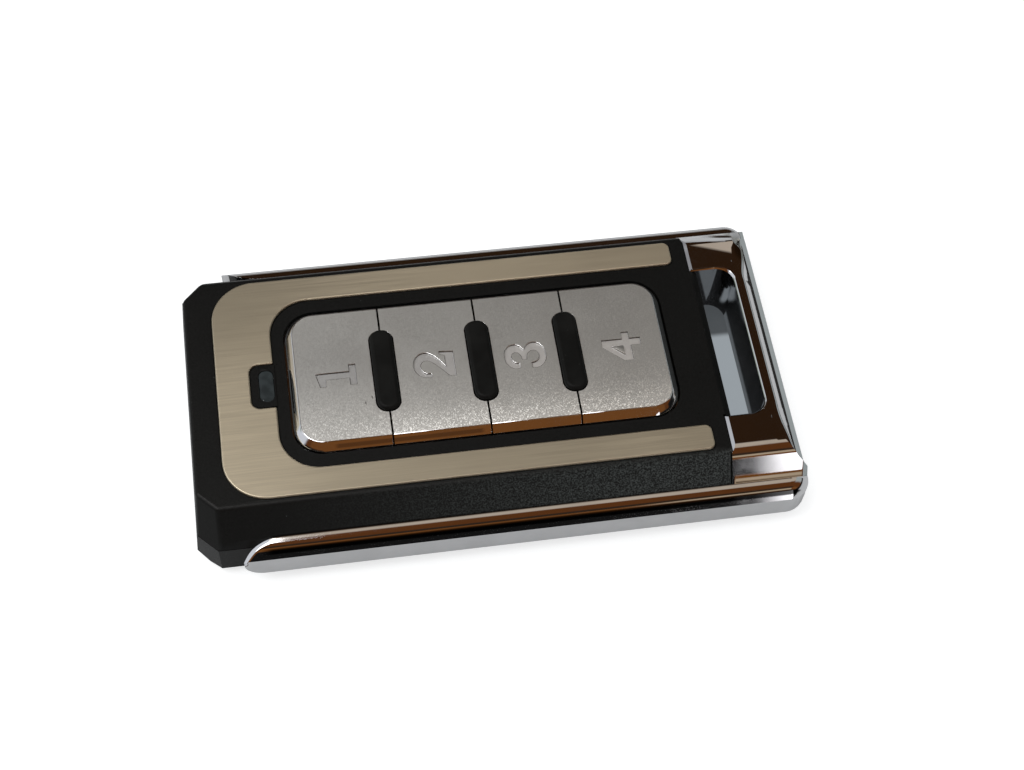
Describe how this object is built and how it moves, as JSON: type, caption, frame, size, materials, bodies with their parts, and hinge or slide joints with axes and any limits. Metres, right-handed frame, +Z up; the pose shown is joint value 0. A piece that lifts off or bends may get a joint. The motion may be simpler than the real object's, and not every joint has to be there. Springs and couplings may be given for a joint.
{
  "type": "key-ring remote transmitter",
  "caption": "Slim radio remote with numbered push keys in a brushed trim plate, a black case and a plated frame with a key-ring slot.",
  "frame": {"origin": "on the surface the remote lies on, under the middle of its outline", "axes": "+X along the length towards the key-ring end, +Y across it, +Z up through the keys"},
  "size_m": [0.0612, 0.0336, 0.0104],
  "materials": {
    "case_black": "fine satin texture",
    "frame_chrome": "polished",
    "brushed_trim": "brushed along the length",
    "smoked_window": "gloss",
    "keypad_rubber": "matte",
    "key_metal": "satin top with polished bevels",
    "switch_housing": "matte",
    "plunger": "gloss",
    "board": "satin",
    "lamp": "clear",
    "chip": "matte",
    "can": "satin",
    "ceramic": "satin",
    "cell": "satin",
    "spring_metal": "satin",
    "screw_steel": "satin"
  },
  "bodies": {
    "case": {"upper_case": "case_black", "lower_case": "case_black", "chrome_frame": "frame_chrome", "steel_plate": "brushed_trim", "led_window": "smoked_window", "rubber_keypad": "keypad_rubber", "switch_1": "switch_housing", "switch_2": "switch_housing", "switch_3": "switch_housing", "switch_4": "switch_housing", "circuit_board": "board", "status_led": "lamp", "encoder_chip": "chip", "radio_resonator": "can", "transmit_transistor": "chip", "tuning_capacitor": "ceramic", "chip_components": "ceramic", "coin_cell": "cell", "positive_contact": "spring_metal", "negative_contact": "spring_metal", "case_screws": "screw_steel"},
    "key_1": {"key_1": "key_metal", "switch_plunger_1": "plunger"},
    "key_2": {"key_2": "key_metal", "switch_plunger_2": "plunger"},
    "key_3": {"key_3": "key_metal", "switch_plunger_3": "plunger"},
    "key_4": {"key_4": "key_metal", "switch_plunger_4": "plunger"}
  },
  "joints": [
    {"name": "key_1_press", "type": "slide", "parent": "case", "child": "key_1", "axis": [0, 0, -1], "range_m": [0, 0.0003], "stiffness_N_per_m": 3000},
    {"name": "key_2_press", "type": "slide", "parent": "case", "child": "key_2", "axis": [0, 0, -1], "range_m": [0, 0.0003], "stiffness_N_per_m": 3000},
    {"name": "key_3_press", "type": "slide", "parent": "case", "child": "key_3", "axis": [0, 0, -1], "range_m": [0, 0.0003], "stiffness_N_per_m": 3000},
    {"name": "key_4_press", "type": "slide", "parent": "case", "child": "key_4", "axis": [0, 0, -1], "range_m": [0, 0.0003], "stiffness_N_per_m": 3000}
  ]
}
